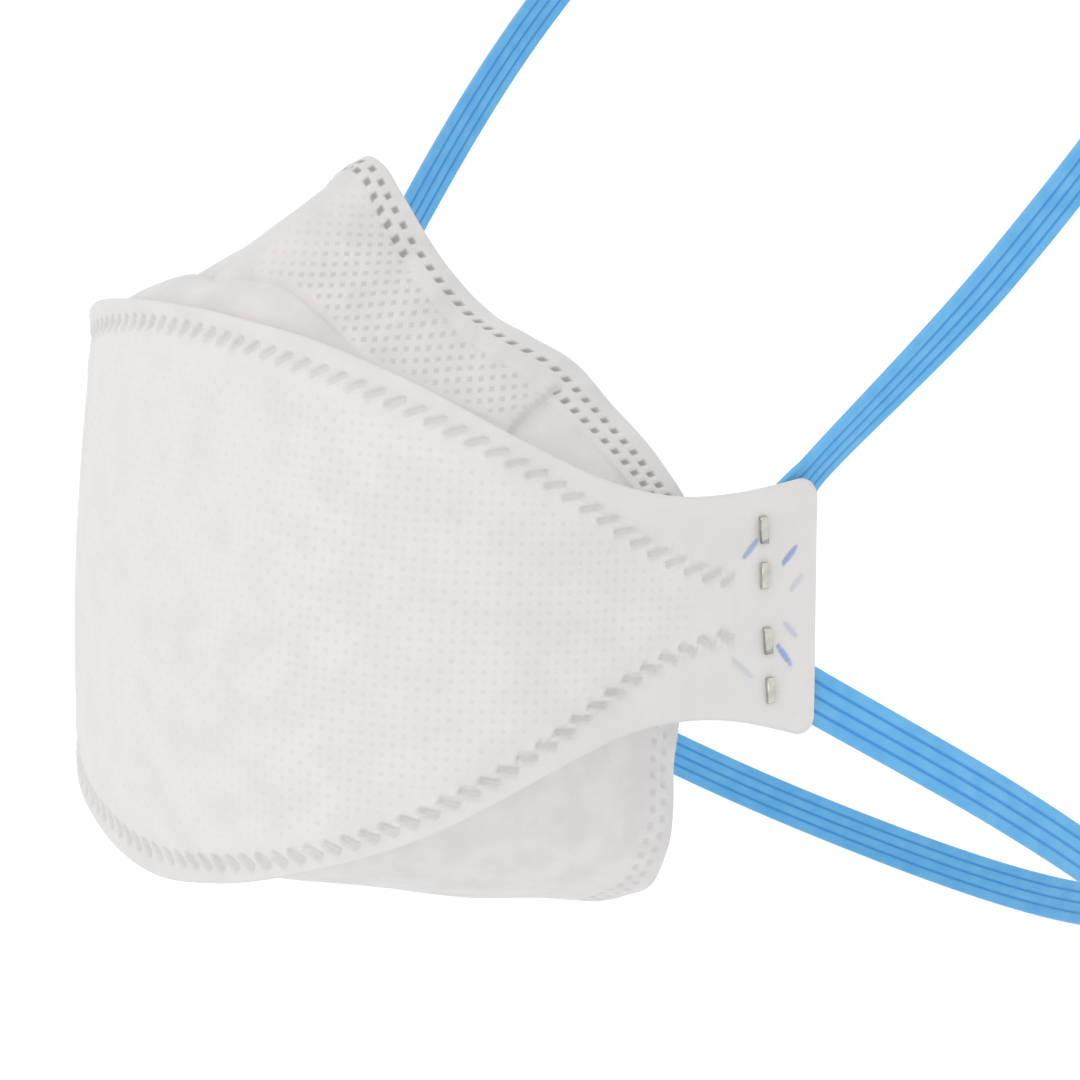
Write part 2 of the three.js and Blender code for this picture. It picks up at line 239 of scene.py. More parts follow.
# Puffed lobe of the top panel just over the seam: where its crease runs, as a share of the way
# from the seam to the free edge, how far it stands out, and where the embossing starts.
LOBE = table(
    ["along", "crease", "rise", "embossed"],
    [0, 0.19, 1.0, 0.21],
    [6, 0.25, 1.3, 0.27],
    [14, 0.285, 1.6, 0.305],
    [22, 0.24, 1.5, 0.26],
    [29, 0.17, 0.9, 0.17],
    [35, 0.12, 0.3, 0.114],
    [42, 0.10, 0.0, 0.105],
    [48, 0.10, 0.0, 0.114],
    [52, 0.10, 0.0, 0.151],
    [56, 0.10, 0.0, 0.175],
    [88, 0.10, 0.0, 0.175],
)

# Single weld marks on the tab that hold the straps: the two ends of each on the cloth, how deep a
# blue shows through it and how grey it is.
TAB_MARKS = table(
    ["along_a", "height_a", "along_b", "height_b", "blue", "grey"],
    [91.4, 8.0, 93.4, 10.1, 0.75, 0.6],
    [97.6, 6.5, 99.7, 8.7, 1.0, 0.3],
    [99.0, 2.7, 100.8, 4.7, 0.1, 0.5],
    [98.1, -2.0, 99.9, -3.9, 0.25, 0.5],
    [96.9, -5.0, 99.0, -7.8, 1.0, 0.5],
    [89.7, -6.3, 92.7, -9.0, 0.05, 0.6],
)
MARK_RADIUS = 0.45
MARK_DEPTH = 0.22

# Relief of the centre panel beside its seam welds: the raised rim round each mark, the valley that
# the welds pull in, the shoulder further in, and the most that any of it may stand out or in.
WELD_RIM = {"longer": 0.9, "wider": 0.7, "height": 0.26, "soft": 0.35}
VALLEY = {"depth": 0.12, "width": 1.5}
SHOULDER = {"inward": 3.6, "height": 0.25, "width": 1.8}
MOST_RELIEF = 0.62

# Waves of worn cloth: their length and height, and the seed that places them.
WAVES = {
    "centre": (46, 0.16, 11), "centre_fine": (13, 0.04, 12), "centre_edge": (17, 0.18, 13),
    "top": (21, 0.24, 21), "top_fine": (9, 0.05, 22),
    "bottom": (26, 0.4, 31), "bottom_fine": (11, 0.12, 32),
}

# Level rows of bond points on the top panel: their angle in plan, and how much closer together
# the rows are than the points in a row.
EMBOSS_TURN = 50.0
EMBOSS_CLOSER = 1.16

# Azimuth from straight ahead toward the wearer's left and elevation, in degrees; lens for a sensor
# 36 mm wide.
CAMERA = {
    "azimuth": 52.86,
    "elevation": 10.31,
    "distance": 451.5,
    "lens": 101.95,
    "target": (20.0, 3.24, 4.89),
}


# ---------------------------------------------------------------- reading the tables


def read(rows, column, along, odd=False):
    """Smooth curve through one column, level at the centre line unless odd is true."""
    x = rows["along"] if "along" in rows else rows["reach"]
    y = rows[column]
    last = len(x) - 1
    slope = np.empty(last + 1)
    slope[0] = (y[1] - y[0]) / (x[1] - x[0]) if odd else 0
    slope[last] = (y[last] - y[last - 1]) / (x[last] - x[last - 1])
    slope[1:last] = (y[2:] - y[:-2]) / (x[2:] - x[:-2])
    position = np.clip(along, x[0], x[last])
    i = np.clip(np.searchsorted(x, position) - 1, 0, last - 1)
    run = x[i + 1] - x[i]
    t = (position - x[i]) / run
    lift = t * (1 - t) * run * ((1 - t) * slope[i] - t * slope[i + 1])
    return y[i] + (y[i + 1] - y[i]) * t * t * (3 - 2 * t) + lift


def smooth(value):
    """Eases a value from 0 to 1 and holds it there outside that range."""
    t = np.clip(value, 0, 1)
    return t * t * (3 - 2 * t)


def mound(value, middle, width):
    """1 where the value is at the middle, fading out within about twice the width."""
    return np.exp(-(((value - middle) / width) ** 2))


# ---------------------------------------------------------------- surfaces of the panels

PLAN_STEP = 0.25
PLAN_ALONG = np.arange(0, HALF_LENGTH + 6, PLAN_STEP)
PLAN_TURN = np.radians(read(CENTRE_SECTIONS, "turn", PLAN_ALONG[:-1] + PLAN_STEP / 2, True))
PLAN_X = np.concatenate([[0], np.cumsum(PLAN_STEP * np.cos(PLAN_TURN))])
PLAN_Y = -SEAL_TO_FRONT + np.concatenate([[0], np.cumsum(PLAN_STEP * np.sin(PLAN_TURN))])


def swell(along, height):
    """How far the wall of the centre panel stands out from its plan."""
    fade = np.maximum(0, 1 - (along / SWELL_REACH) ** 2)
    rise = np.clip((BELLY_TOP - height) / (BELLY_TOP - BELLY_HEIGHT), 0, 1)
    under = np.maximum(0, BELLY_HEIGHT - height) / TUCK_HEIGHT
    above = read(CENTRE_SECTIONS, "edge_up", along) - height
    below = height - read(CENTRE_SECTIONS, "edge_down", along)
    leans = np.clip(1 - above / FLANGE_WIDTH, 0, 1) + np.clip(1 - below / FLANGE_WIDTH, 0, 1)
    return fade * (BELLY * np.sin(rise * np.pi / 2) - TUCK * under**2 + FLARE * leans)


def wall_point(along, height, depth=0.0):
    """Point of the centre panel, depth behind its outer face. Negative along is the right side."""
    along, height, depth = np.broadcast_arrays(np.asarray(along, float), height, depth)
    side = np.where(along < 0, -1, 1)
    distance = np.abs(along)
    turn = np.radians(read(CENTRE_SECTIONS, "turn", distance, True))
    push = swell(distance, height) - depth
    x = np.interp(distance, PLAN_ALONG, PLAN_X) + push * np.sin(turn)
    y = np.interp(distance, PLAN_ALONG, PLAN_Y) - push * np.cos(turn)
    return np.stack([side * x, y, height], -1)


def panel_point(panel, along, across):
    """Middle surface of the top or bottom panel: -1 lip edge, 0 fold on the seam, 1 free edge."""
    distance = np.abs(along)
    side = np.where(along < 0, -1, 1)
    seam = read(CENTRE_SECTIONS, panel["seam"], distance)
    lip = panel["up"] * WELD_LIP * np.maximum(0, -across)
    fold = wall_point(along, seam + lip, CLOTH + GAP + CLOTH / 2)
    edge = np.stack([
        side * read(panel["edge"], "x", distance, True),
        read(panel["edge"], "y", distance) - SEAL_TO_FRONT,
        read(panel["edge"], "z", distance),
    ], -1)
    t = np.clip(across, 0, 1)
    point = fold + (edge - fold) * t[..., None]
    point[..., 2] += panel["up"] * read(panel["edge"], "puff", distance) * np.sin(np.pi * t**0.7)
    return point


TOP_PANEL = {"seam": "seam_up", "edge": TOP_EDGE, "up": 1}
BOTTOM_PANEL = {"seam": "seam_down", "edge": BOTTOM_EDGE, "up": -1}


def run_lengths(points):
    """Length of a line of points, summed up from its first one."""
    steps = np.linalg.norm(np.diff(points, axis=0), axis=1)
    return np.concatenate([[0], np.cumsum(steps)])


def grid_normals(points):
    """Unit normals of a grid of points, from its own two directions."""
    normals = np.cross(np.gradient(points, axis=0), np.gradient(points, axis=1))
    return normals / np.maximum(np.linalg.norm(normals, axis=-1, keepdims=True), 1e-9)


def soft_waves(u, v, name, count=7):
    """Gentle unevenness of worn cloth in millimetres, from one of the named sets of waves."""
    length, height, seed = WAVES[name]
    draw = np.random.default_rng(seed)
    total = np.zeros(np.broadcast(u, v).shape)
    for _ in range(count):
        angle, phase = draw.uniform(0, 2 * np.pi, 2)
        wave = 2 * np.pi / (length * draw.uniform(0.7, 1.5))
        total += np.sin(wave * (u * np.cos(angle) + v * np.sin(angle)) + phase)
    return total / math.sqrt(2 * count) * height


# ---------------------------------------------------------------- weld marks


def sheared(weld, distance, inward):
    """Distance along a row of marks, sheared so that each slanted mark keeps to its own pitch."""
    return distance + inward / math.tan(math.radians(weld["lean"]))


def weld_profile(weld, x, y, soft):
    """1 inside a mark and 0 outside, with a border of the given softness."""
    lean = math.radians(weld["lean"])
    step = (x / weld["pitch"] - np.round(x / weld["pitch"])) * weld["pitch"]
    length_way = step * math.cos(lean) - y / math.sin(lean)
    width_way = step * math.sin(lean)
    past_end = np.abs(length_way) - weld["length"] / 2
    past_side = np.abs(width_way) - weld["width"] / 2
    corner = np.maximum(weld["rounding"] - np.abs(past_end - past_side), 0) / weld["rounding"]
    over = np.maximum(past_end, past_side) + corner**3 * weld["rounding"] / 6
    return smooth(0.5 - over / (2 * soft))


def seam_coordinates(along, height):
    """For points of the centre panel: distance along the nearer weld seam, distance in from it
    and whether marks show there."""
    distance = np.abs(along)
    side = np.where(along < 0, -1, 1)
    steps = np.arange(0, HALF_LENGTH + 0.5, 0.5)
    middle = (
        read(CENTRE_SECTIONS, "seam_up", distance) + read(CENTRE_SECTIONS, "seam_down", distance)
    ) / 2
    found = {}
    for seam, inward_sign in (("seam_up", 1), ("seam_down", -1)):
        heights = read(CENTRE_SECTIONS, seam, steps)
        line = wall_point(steps, heights)
        lengths = run_lengths(line)
        slope = np.interp(distance, steps, np.gradient(heights, lengths))
        lean = np.arctan(slope / np.sqrt(np.maximum(1 - slope**2, 1e-6)))
        drop = read(CENTRE_SECTIONS, seam, distance) - height
        row = side * (np.interp(distance, steps, lengths) - drop * np.sin(lean))
        found[seam] = (row, inward_sign * drop * np.cos(lean))
    upper = height > middle
    row = np.where(upper, found["seam_up"][0], found["seam_down"][0])
    inward = np.where(upper, found["seam_up"][1], found["seam_down"][1])
    shows = smooth((SEAM_WELD["last"] - distance) / 1.0)
    return row - SEAM_WELD["first"], inward, shows


def tab_marks(along, height):
    """How blue and how grey the nearest single mark on the tab is, and the distance from it."""
    distance = np.abs(along)
    nearest = np.full(along.shape, 9.0)
    blue, grey = np.zeros(along.shape), np.zeros(along.shape)
    for a0, h0, a1, h1, mark_blue, mark_grey in zip(*TAB_MARKS.values()):
        run = np.array([a1 - a0, h1 - h0])
        t = np.clip(((distance - a0) * run[0] + (height - h0) * run[1]) / (run @ run), 0, 1)
        away = np.hypot(distance - a0 - t * run[0], height - h0 - t * run[1])
        away -= MARK_RADIUS * (0.7 + 0.3 * np.sin(np.pi * t))
        closer = away < nearest
        nearest = np.where(closer, away, nearest)
        blue, grey = np.where(closer, mark_blue, blue), np.where(closer, mark_grey, grey)
    return blue, grey, nearest


def edge_row(panel, rows, weld, column, along, across):
    """Distance along a row of marks beside a free edge, and distance from the row."""
    distance = np.abs(along)
    free_edge = panel_point(panel, along, np.ones_like(across))
    to_edge = np.linalg.norm(panel_point(panel, along, across) - free_edge, axis=-1)
    step = 0.5
    steps = np.arange(0, PANEL_END + step, step)
    phase = np.concatenate([[0], np.cumsum(step / read(rows, "spacing", steps[:-1] + step / 2))])
    shift = 0.5 if column == "inner_in" else 0.0
    row = np.sign(along) * (np.interp(distance, steps, phase) + shift) * weld["pitch"]
    return row, to_edge - read(rows, column, distance)


# ---------------------------------------------------------------- meshes


def linear(hex_value):
    """An sRGB hex colour as the linear colour that shaders take."""
    channels = [(hex_value >> shift & 255) / 255 for shift in (16, 8, 0)]
    return tuple(
        c / 12.92 if c <= 0.04045 else ((c + 0.055) / 1.055) ** 2.4 for c in channels
    ) + (1.0,)


def add_mesh(name, vertices, faces, attributes, material):
    """Smooth-shaded object from points in millimetres, with its named point attributes."""
    mesh = bpy.data.meshes.new(name)
    mesh.from_pydata((np.asarray(vertices) * MM).tolist(), [], faces)
    for attribute, values in attributes.items():
        layer = mesh.attributes.new(attribute, "FLOAT_VECTOR", "POINT")
        layer.data.foreach_set("vector", np.asarray(values, np.float32).ravel())
    mesh.shade_smooth()
    mesh.materials.append(material)
    mesh.validate()
    piece = bpy.data.objects.new(name, mesh)
    bpy.context.scene.collection.objects.link(piece)
    return piece


def grid_faces(rows, columns, start=0, flip=False):
    """Quads of a grid whose vertices are numbered row by row from start."""
    i, j = np.meshgrid(np.arange(rows - 1), np.arange(columns - 1), indexing="ij")
    a = start + i * columns + j
    quads = np.stack([a, a + 1, a + columns + 1, a + columns], -1).reshape(-1, 4)
    return (quads[:, ::-1] if flip else quads).tolist()


def tube_faces(rings, count, flip=False):
    """Faces of a closed tube, sides and both ends, with its points numbered ring by ring."""
    i, j = np.meshgrid(np.arange(rings - 1), np.arange(count), indexing="ij")
    a, b = i * count + j, i * count + (j + 1) % count
    sides = np.stack([a, b, b + count, a + count], -1).reshape(-1, 4)
    first = list(range(count))
    last = [(rings - 1) * count + k for k in first]
    if flip:
        return [*sides[:, ::-1].tolist(), first, last[::-1]]
    return [*sides.tolist(), first[::-1], last]


def add_shell(name, outer, inner, attributes, material, flip=False):
    """Closed sheet between two grids with the same stations, with rounded long edges. The outer
    grid may have more rows than the inner one."""
    stations, rows = outer.shape[:2]
    inner_rows = inner.shape[1]
    rims = []
    for k in (0, -1):
        middle = (outer[:, k] + inner[:, k]) / 2
        inside = outer[:, 1 if k == 0 else -2]
        out = middle - (inside + inner[:, 1 if k == 0 else -2]) / 2
        out /= np.linalg.norm(out, axis=-1, keepdims=True)
        thickness = np.linalg.norm(outer[:, k] - inner[:, k], axis=-1, keepdims=True)
        rims.append(middle + out * thickness * 0.3)
    vertices = np.concatenate([outer.reshape(-1, 3), inner.reshape(-1, 3), rims[0], rims[1]])
    outer_at = np.arange(stations * rows).reshape(stations, rows)
    inner_at = outer_at.size + np.arange(stations * inner_rows).reshape(stations, inner_rows)
    rim_at = inner_at.max() + 1 + np.arange(2 * stations).reshape(2, stations)
    faces = grid_faces(stations, rows, 0, flip)
    faces += grid_faces(stations, inner_rows, outer_at.size, not flip)
    for k, turned in ((0, False), (-1, True)):
        for a, b in ((outer_at[:, k], rim_at[k]), (rim_at[k], inner_at[:, k])):
            strip = np.stack([a[:-1], a[1:], b[1:], b[:-1]], -1)
            faces += (strip if turned == flip else strip[:, ::-1]).tolist()
    for k, turned in ((0, False), (-1, True)):
        end = [*outer_at[k], rim_at[1][k], *inner_at[k][::-1], rim_at[0][k]]
        end = [int(vertex) for vertex in end]
        faces.append(end if turned == flip else end[::-1])
    values = {}
    for attribute, (outer_values, inner_values) in attributes.items():
        ends = [outer_values[:, 0], outer_values[:, -1]]
        parts = [outer_values.reshape(-1, 3), inner_values.reshape(-1, 3), *ends]
        values[attribute] = np.concatenate(parts)
    return add_mesh(name, vertices, faces, values, material)


# ---------------------------------------------------------------- materials


def add_node(tree, kind, settings=None, inputs=None):
    """Adds a node, sets its own settings, and sets or links its inputs by name or number."""
    node = tree.nodes.new(kind)
    for name, value in (settings or {}).items():
        setattr(node, name, value)
    for name, value in (inputs or {}).items():
        if isinstance(value, bpy.types.NodeSocket):
            tree.links.new(value, node.inputs[name])
        else:
            node.inputs[name].default_value = value
    return node


def start_material(name, colour, roughness, metallic=0.0):
    """New material with its shader and the uniform values set on the shader itself."""
    material = bpy.data.materials.new(name)
    material.use_nodes = True
    shader = material.node_tree.nodes["Principled BSDF"]
    shader.inputs["Base Color"].default_value = colour
    shader.inputs["Roughness"].default_value = roughness
    shader.inputs["Metallic"].default_value = metallic
    return material, material.node_tree, shader


def math_node(tree, operation, first, second=0.0):
    """Result of one sum on two values."""
    inputs = {0: first, 1: second}
    return add_node(tree, "ShaderNodeMath", {"operation": operation}, inputs).outputs[0]


def blend(tree, factor, first, second):
    """Colour that goes from the first to the second with the factor."""
    node = add_node(tree, "ShaderNodeMix", {"data_type": "RGBA"}, {0: factor, 6: first, 7: second})
    return node.outputs[2]


def ramp(tree, value, low, high):
    """Value eased from 0 at low to 1 at high."""
    settings = {"interpolation_type": "SMOOTHSTEP"}
    inputs = {"Value": value, "From Min": low, "From Max": high}
    return add_node(tree, "ShaderNodeMapRange", settings, inputs).outputs["Result"]


def point_values(tree, name):
    """The three values that each point holds under this name, together and one by one."""
    together = add_node(tree, "ShaderNodeAttribute", {"attribute_name": name}).outputs["Vector"]
    return together, add_node(tree, "ShaderNodeSeparateXYZ", inputs={0: together}).outputs


def weld_marks(tree, attribute, weld, soft):
    """1 in the weld marks of a row, drawn from the row's own attribute."""
    _, (row, inward, shows) = point_values(tree, attribute)
    lean = math.radians(weld["lean"])
    whole = math_node(tree, "ROUND", math_node(tree, "DIVIDE", row, weld["pitch"]))
    step = math_node(tree, "SUBTRACT", row, math_node(tree, "MULTIPLY", whole, weld["pitch"]))
    along = math_node(tree, "MULTIPLY", step, math.cos(lean))
    across = math_node(tree, "MULTIPLY", inward, 1 / math.sin(lean))
    length_way = math_node(tree, "ABSOLUTE", math_node(tree, "SUBTRACT", along, across))
    width_way = math_node(tree, "ABSOLUTE", math_node(tree, "MULTIPLY", step, math.sin(lean)))
    over = add_node(tree, "ShaderNodeMath", {"operation": "SMOOTH_MAX"}, {
        0: math_node(tree, "SUBTRACT", length_way, weld["length"] / 2),
        1: math_node(tree, "SUBTRACT", width_way, weld["width"] / 2),
        2: weld["rounding"],
    })
    inside = ramp(tree, over.outputs[0], soft, -soft)
    return math_node(tree, "MULTIPLY", inside, shows)


def both_rows(tree, weld, soft):
    """1 in the weld marks of the outer and the inner row beside a free edge."""
    rows = [weld_marks(tree, name, weld, soft) for name in ("outer_welds", "inner_welds")]
    return math_node(tree, "MAXIMUM", *rows)


def emboss_dots(tree, place, spacing, turn, radius, square, evenness=0.04):
    """1 in the middle of each embossed dot of a regular lattice, easing to 0 at its radius."""
    turned = add_node(tree, "ShaderNodeVectorRotate", {"rotation_type": "Z_AXIS"}, {
        "Vector": place, "Angle": math.radians(turn),
    })
    lattice = add_node(tree, "ShaderNodeTexVoronoi", {
        "voronoi_dimensions": "2D",
        "distance": "CHEBYCHEV" if square else "EUCLIDEAN",
    }, {"Vector": turned.outputs[0], "Scale": 1 / spacing, "Randomness": evenness})
    return ramp(tree, lattice.outputs["Distance"], radius / spacing, 0.35 * radius / spacing)


def cloud(tree, place, size, detail=2.0):
    """Soft irregular pattern from 0 to 1 whose patches are about size millimetres wide."""
    node = add_node(tree, "ShaderNodeTexNoise", inputs={
        "Vector": place, "Scale": 1 / size, "Detail": detail, "Roughness": 0.55,
    })
    return node.outputs["Fac"]


def raise_surface(tree, shader, *layers):
    """Chains bumps, each a height and how many millimetres it stands, into the shader."""
    normal = None
    for height, stands in layers:
        inputs = {"Height": height, "Distance": stands * MM, "Strength": 1.0}
        if normal is not None:
            inputs["Normal"] = normal
        normal = add_node(tree, "ShaderNodeBump", inputs=inputs).outputs[0]
    tree.links.new(normal, shader.inputs["Normal"])


def start_cloth(name, colour, roughness, sheen):
    """New material of white nonwoven cloth, with the mottling of its colour still to come."""
    material, tree, shader = start_material(name, colour, roughness)
    shader.inputs["Sheen Weight"].default_value = sheen
    shader.inputs["Specular IOR Level"].default_value = 0.3
    return material, tree, shader


def pressed_and_shaded_cloth(tree, colour, settings):
    """The colour of the cloth, greyed a little on the centre panel's flange and tab, and with
    painted shade on the top panel's strip behind the flange.
    """
    pressed_and_shade = add_node(tree, "ShaderNodeAttribute", {"attribute_name": "pressed_and_shade"})
    return blend(tree, pressed_and_shade.outputs["Fac"], colour, settings.pressed_and_shade_colour)


def centre_cloth_material(settings):
    """Spunbond polypropylene, point bonded: matt white felted fibres, small round bond dots on a
    diamond lattice, and clear-greyish fused film where the seams are welded."""
    material, tree, shader = start_cloth(
        "spunbond polypropylene, point bonded", settings.centre_colour, 0.86, 0.15,
    )
    shader.inputs["Sheen Roughness"].default_value = 0.5
    place, (_, _, embossed) = point_values(tree, "cloth_mm")
    # Bond dots 0.5 mm wide, 1.9 mm apart on the diagonal, with fainter ones between them.
    spacing = 1.9
    strong = emboss_dots(tree, place, spacing, 47.5, 0.45, False)
    every = emboss_dots(tree, place, spacing / math.sqrt(2), 2.5, 0.42, False)
    every = math_node(tree, "MULTIPLY", every, 0.45)
    dots = math_node(tree, "MULTIPLY", math_node(tree, "MAXIMUM", strong, every), embossed)
    # Fibres are 0.02 mm thick and lie in finer wisps; the wisps are drawn 0.9 mm so that they show.
    wisps = cloud(tree, place, 0.9, 3.0)
    patches = cloud(tree, place, 7.0)
    welds = weld_marks(tree, "weld_mm", SEAM_WELD, 0.2)
    _, (blue, grey, from_mark) = point_values(tree, "tab_marks")
    colour = blend(tree, ramp(tree, patches, 0.3, 0.7), settings.centre_colour, linear(0xD2D0CF))
    colour = blend(tree, math_node(tree, "MULTIPLY", dots, 0.22), colour, linear(0xBAB9B6))
    colour = blend(tree, math_node(tree, "MULTIPLY", welds, 0.16), colour, settings.weld_colour)
    colour = pressed_and_shaded_cloth(tree, colour, settings)
    spot = ramp(tree, from_mark, 0.22, -0.22)
    for amount, tint in ((grey, 0xB9B9BF), (blue, 0x8097C8)):
        share = math_node(tree, "MULTIPLY", spot, math_node(tree, "MULTIPLY", amount, 0.8))
        colour = blend(tree, share, colour, linear(tint))
    tree.links.new(colour, shader.inputs["Base Color"])
    raise_surface(tree, shader, (wisps, 0.05), (math_node(tree, "MULTIPLY", dots, -1.0), 0.05))
    return material


def top_cloth_material(settings):
    """Embossed nonwoven over a sealed-in nose strip: warm matt white with square bond points and
    two rows of deep grey weld squares along the nose edge."""
    material, tree, shader = start_cloth(
        "nonwoven polypropylene, square embossed", settings.top_colour, 0.88, 0.12,
    )
    place, (_, _, embossed) = point_values(tree, "cloth_mm")
    # Bond points 0.75 mm wide, 1.45 mm apart.
    dots = math_node(tree, "MULTIPLY", emboss_dots(tree, place, 1.45, 0, 0.44, True), embossed)
    patches = cloud(tree, place, 6.0)
    wisps = cloud(tree, place, 0.9, 3.0)
    rows = both_rows(tree, NOSE_WELD, 0.26)
    colour = blend(tree, ramp(tree, patches, 0.3, 0.7), settings.top_colour, linear(0xCCCAC8))
    colour = blend(tree, math_node(tree, "MULTIPLY", dots, 0.48), colour, linear(0xADAAA8))
    # Painted shade on the strip in the valley over the seam, through the pressed colour.
    colour = pressed_and_shaded_cloth(tree, colour, settings)
    colour = blend(tree, math_node(tree, "MULTIPLY", rows, 0.85), colour, settings.nose_weld_colour)
    tree.links.new(colour, shader.inputs["Base Color"])
    raise_surface(tree, shader, (wisps, 0.04), (math_node(tree, "MULTIPLY", dots, -1.0), 0.06))
    return material


def bottom_cloth_material(settings):
    """Smooth nonwoven: soft matt grey-white, faint lengthwise fibre streaks from the web, and pale
    weld squares along the chin edge."""
    material, tree, shader = start_cloth(
        "nonwoven polypropylene, calendered", settings.bottom_colour, 0.88, 0.12,
    )
    place, _ = point_values(tree, "cloth_mm")
    stretched = add_node(tree, "ShaderNodeVectorMath", {"operation": "MULTIPLY"}, {
        0: place, 1: (1.0, 0.12, 0.0),
    }).outputs[0]
    streaks = cloud(tree, stretched, 0.8, 2.0)
    patches = cloud(tree, place, 6.0)
    rows = both_rows(tree, CHIN_WELD, 0.2)
    colour = blend(tree, ramp(tree, patches, 0.3, 0.7), settings.bottom_colour, linear(0xCECCCB))
    colour = blend(tree, math_node(tree, "MULTIPLY", streaks, 0.25), colour, linear(0xC6C3C2))
    colour = blend(tree, math_node(tree, "MULTIPLY", rows, 0.45), colour, linear(0xB9B6B6))
    tree.links.new(colour, shader.inputs["Base Color"])
    raise_surface(tree, shader, (streaks, 0.04))
    return material


def strap_material(settings):
    """Extruded ribbed elastic: satin azure rubber with a fine grain, and painted shade darkening
    the grooves.
    """
    material, tree, shader = start_material(
        "thermoplastic elastomer, extruded ribbed", settings.colour, 0.5,
    )
    shader.inputs["Specular IOR Level"].default_value = 0.35
    place, (_, _, groove_and_shade) = point_values(tree, "strap_mm")
    # The grain of the rubber is about 0.3 mm; it is drawn 0.6 mm so that it shows.
    grain = cloud(tree, place, 0.6, 2.0)
    tint = cloud(tree, place, 4.0, 1.0)
    colour = blend(tree, ramp(tree, tint, 0.25, 0.75), settings.colour, linear(0x66AEDF))
    # Painted shade: the grooves between the ribs are darkened in the colour.
    colour = blend(tree, math_node(tree, "MULTIPLY", groove_and_shade, 0.85), colour, settings.groove_shade_colour)
    tree.links.new(colour, shader.inputs["Base Color"])
    raise_surface(tree, shader, (grain, 0.05))
    return material


def staple_material(settings):
    """Galvanised steel wire, drawn flat: bright warm-grey metal with fine lengthwise draw lines."""
    material, tree, shader = start_material(
        "galvanised steel wire, drawn flat", settings.colour, 0.25, 1.0,
    )
    place, _ = point_values(tree, "wire_mm")
    # Draw lines are finer than 0.05 mm; they are drawn 0.15 mm wide so that they show.
    lines = add_node(tree, "ShaderNodeVectorMath", {"operation": "MULTIPLY"}, {
        0: place, 1: (0.1, 1.0, 1.0),
    }).outputs[0]
    drawn = cloud(tree, lines, 0.15, 2.0)
    spangle = cloud(tree, place, 1.2, 2.0)
    colour = blend(tree, ramp(tree, spangle, 0.3, 0.7), settings.colour, linear(0xC2BFB8))
    tree.links.new(colour, shader.inputs["Base Color"])
    uneven = add_node(tree, "ShaderNodeMapRange", inputs={
        "Value": drawn, "To Min": 0.2, "To Max": 0.34,
    })
    tree.links.new(uneven.outputs[0], shader.inputs["Roughness"])
    raise_surface(tree, shader, (drawn, 0.01))
    return material


# ---------------------------------------------------------------- cloth pieces


def edge_taper(from_edge):
    """Share of the full thickness left near an edge, where the layers are pressed together."""
    return 0.42 + 0.58 * smooth(from_edge / 2.6)


def corner_drop(along):
    """How far the rounded corners of the tabs lie in from the straight edges."""
    past = np.clip(np.abs(along) - (HALF_LENGTH - TAB_CORNER), 0, TAB_CORNER)
    return TAB_CORNER - np.sqrt(TAB_CORNER**2 - past**2)


def spread(*stretches):
    """Rows between node lines: (from, to, count) for each stretch, in shares of the way."""
    return np.concatenate([np.linspace(a, b, n, endpoint=False) for a, b, n in stretches])


def inner_face_rows(count):
    """Rows of the outer face that the coarser inner face has too, with the first and the last."""
    return np.unique(np.concatenate([np.arange(0, count, ROWS_TO_INNER), [count - 1]]))


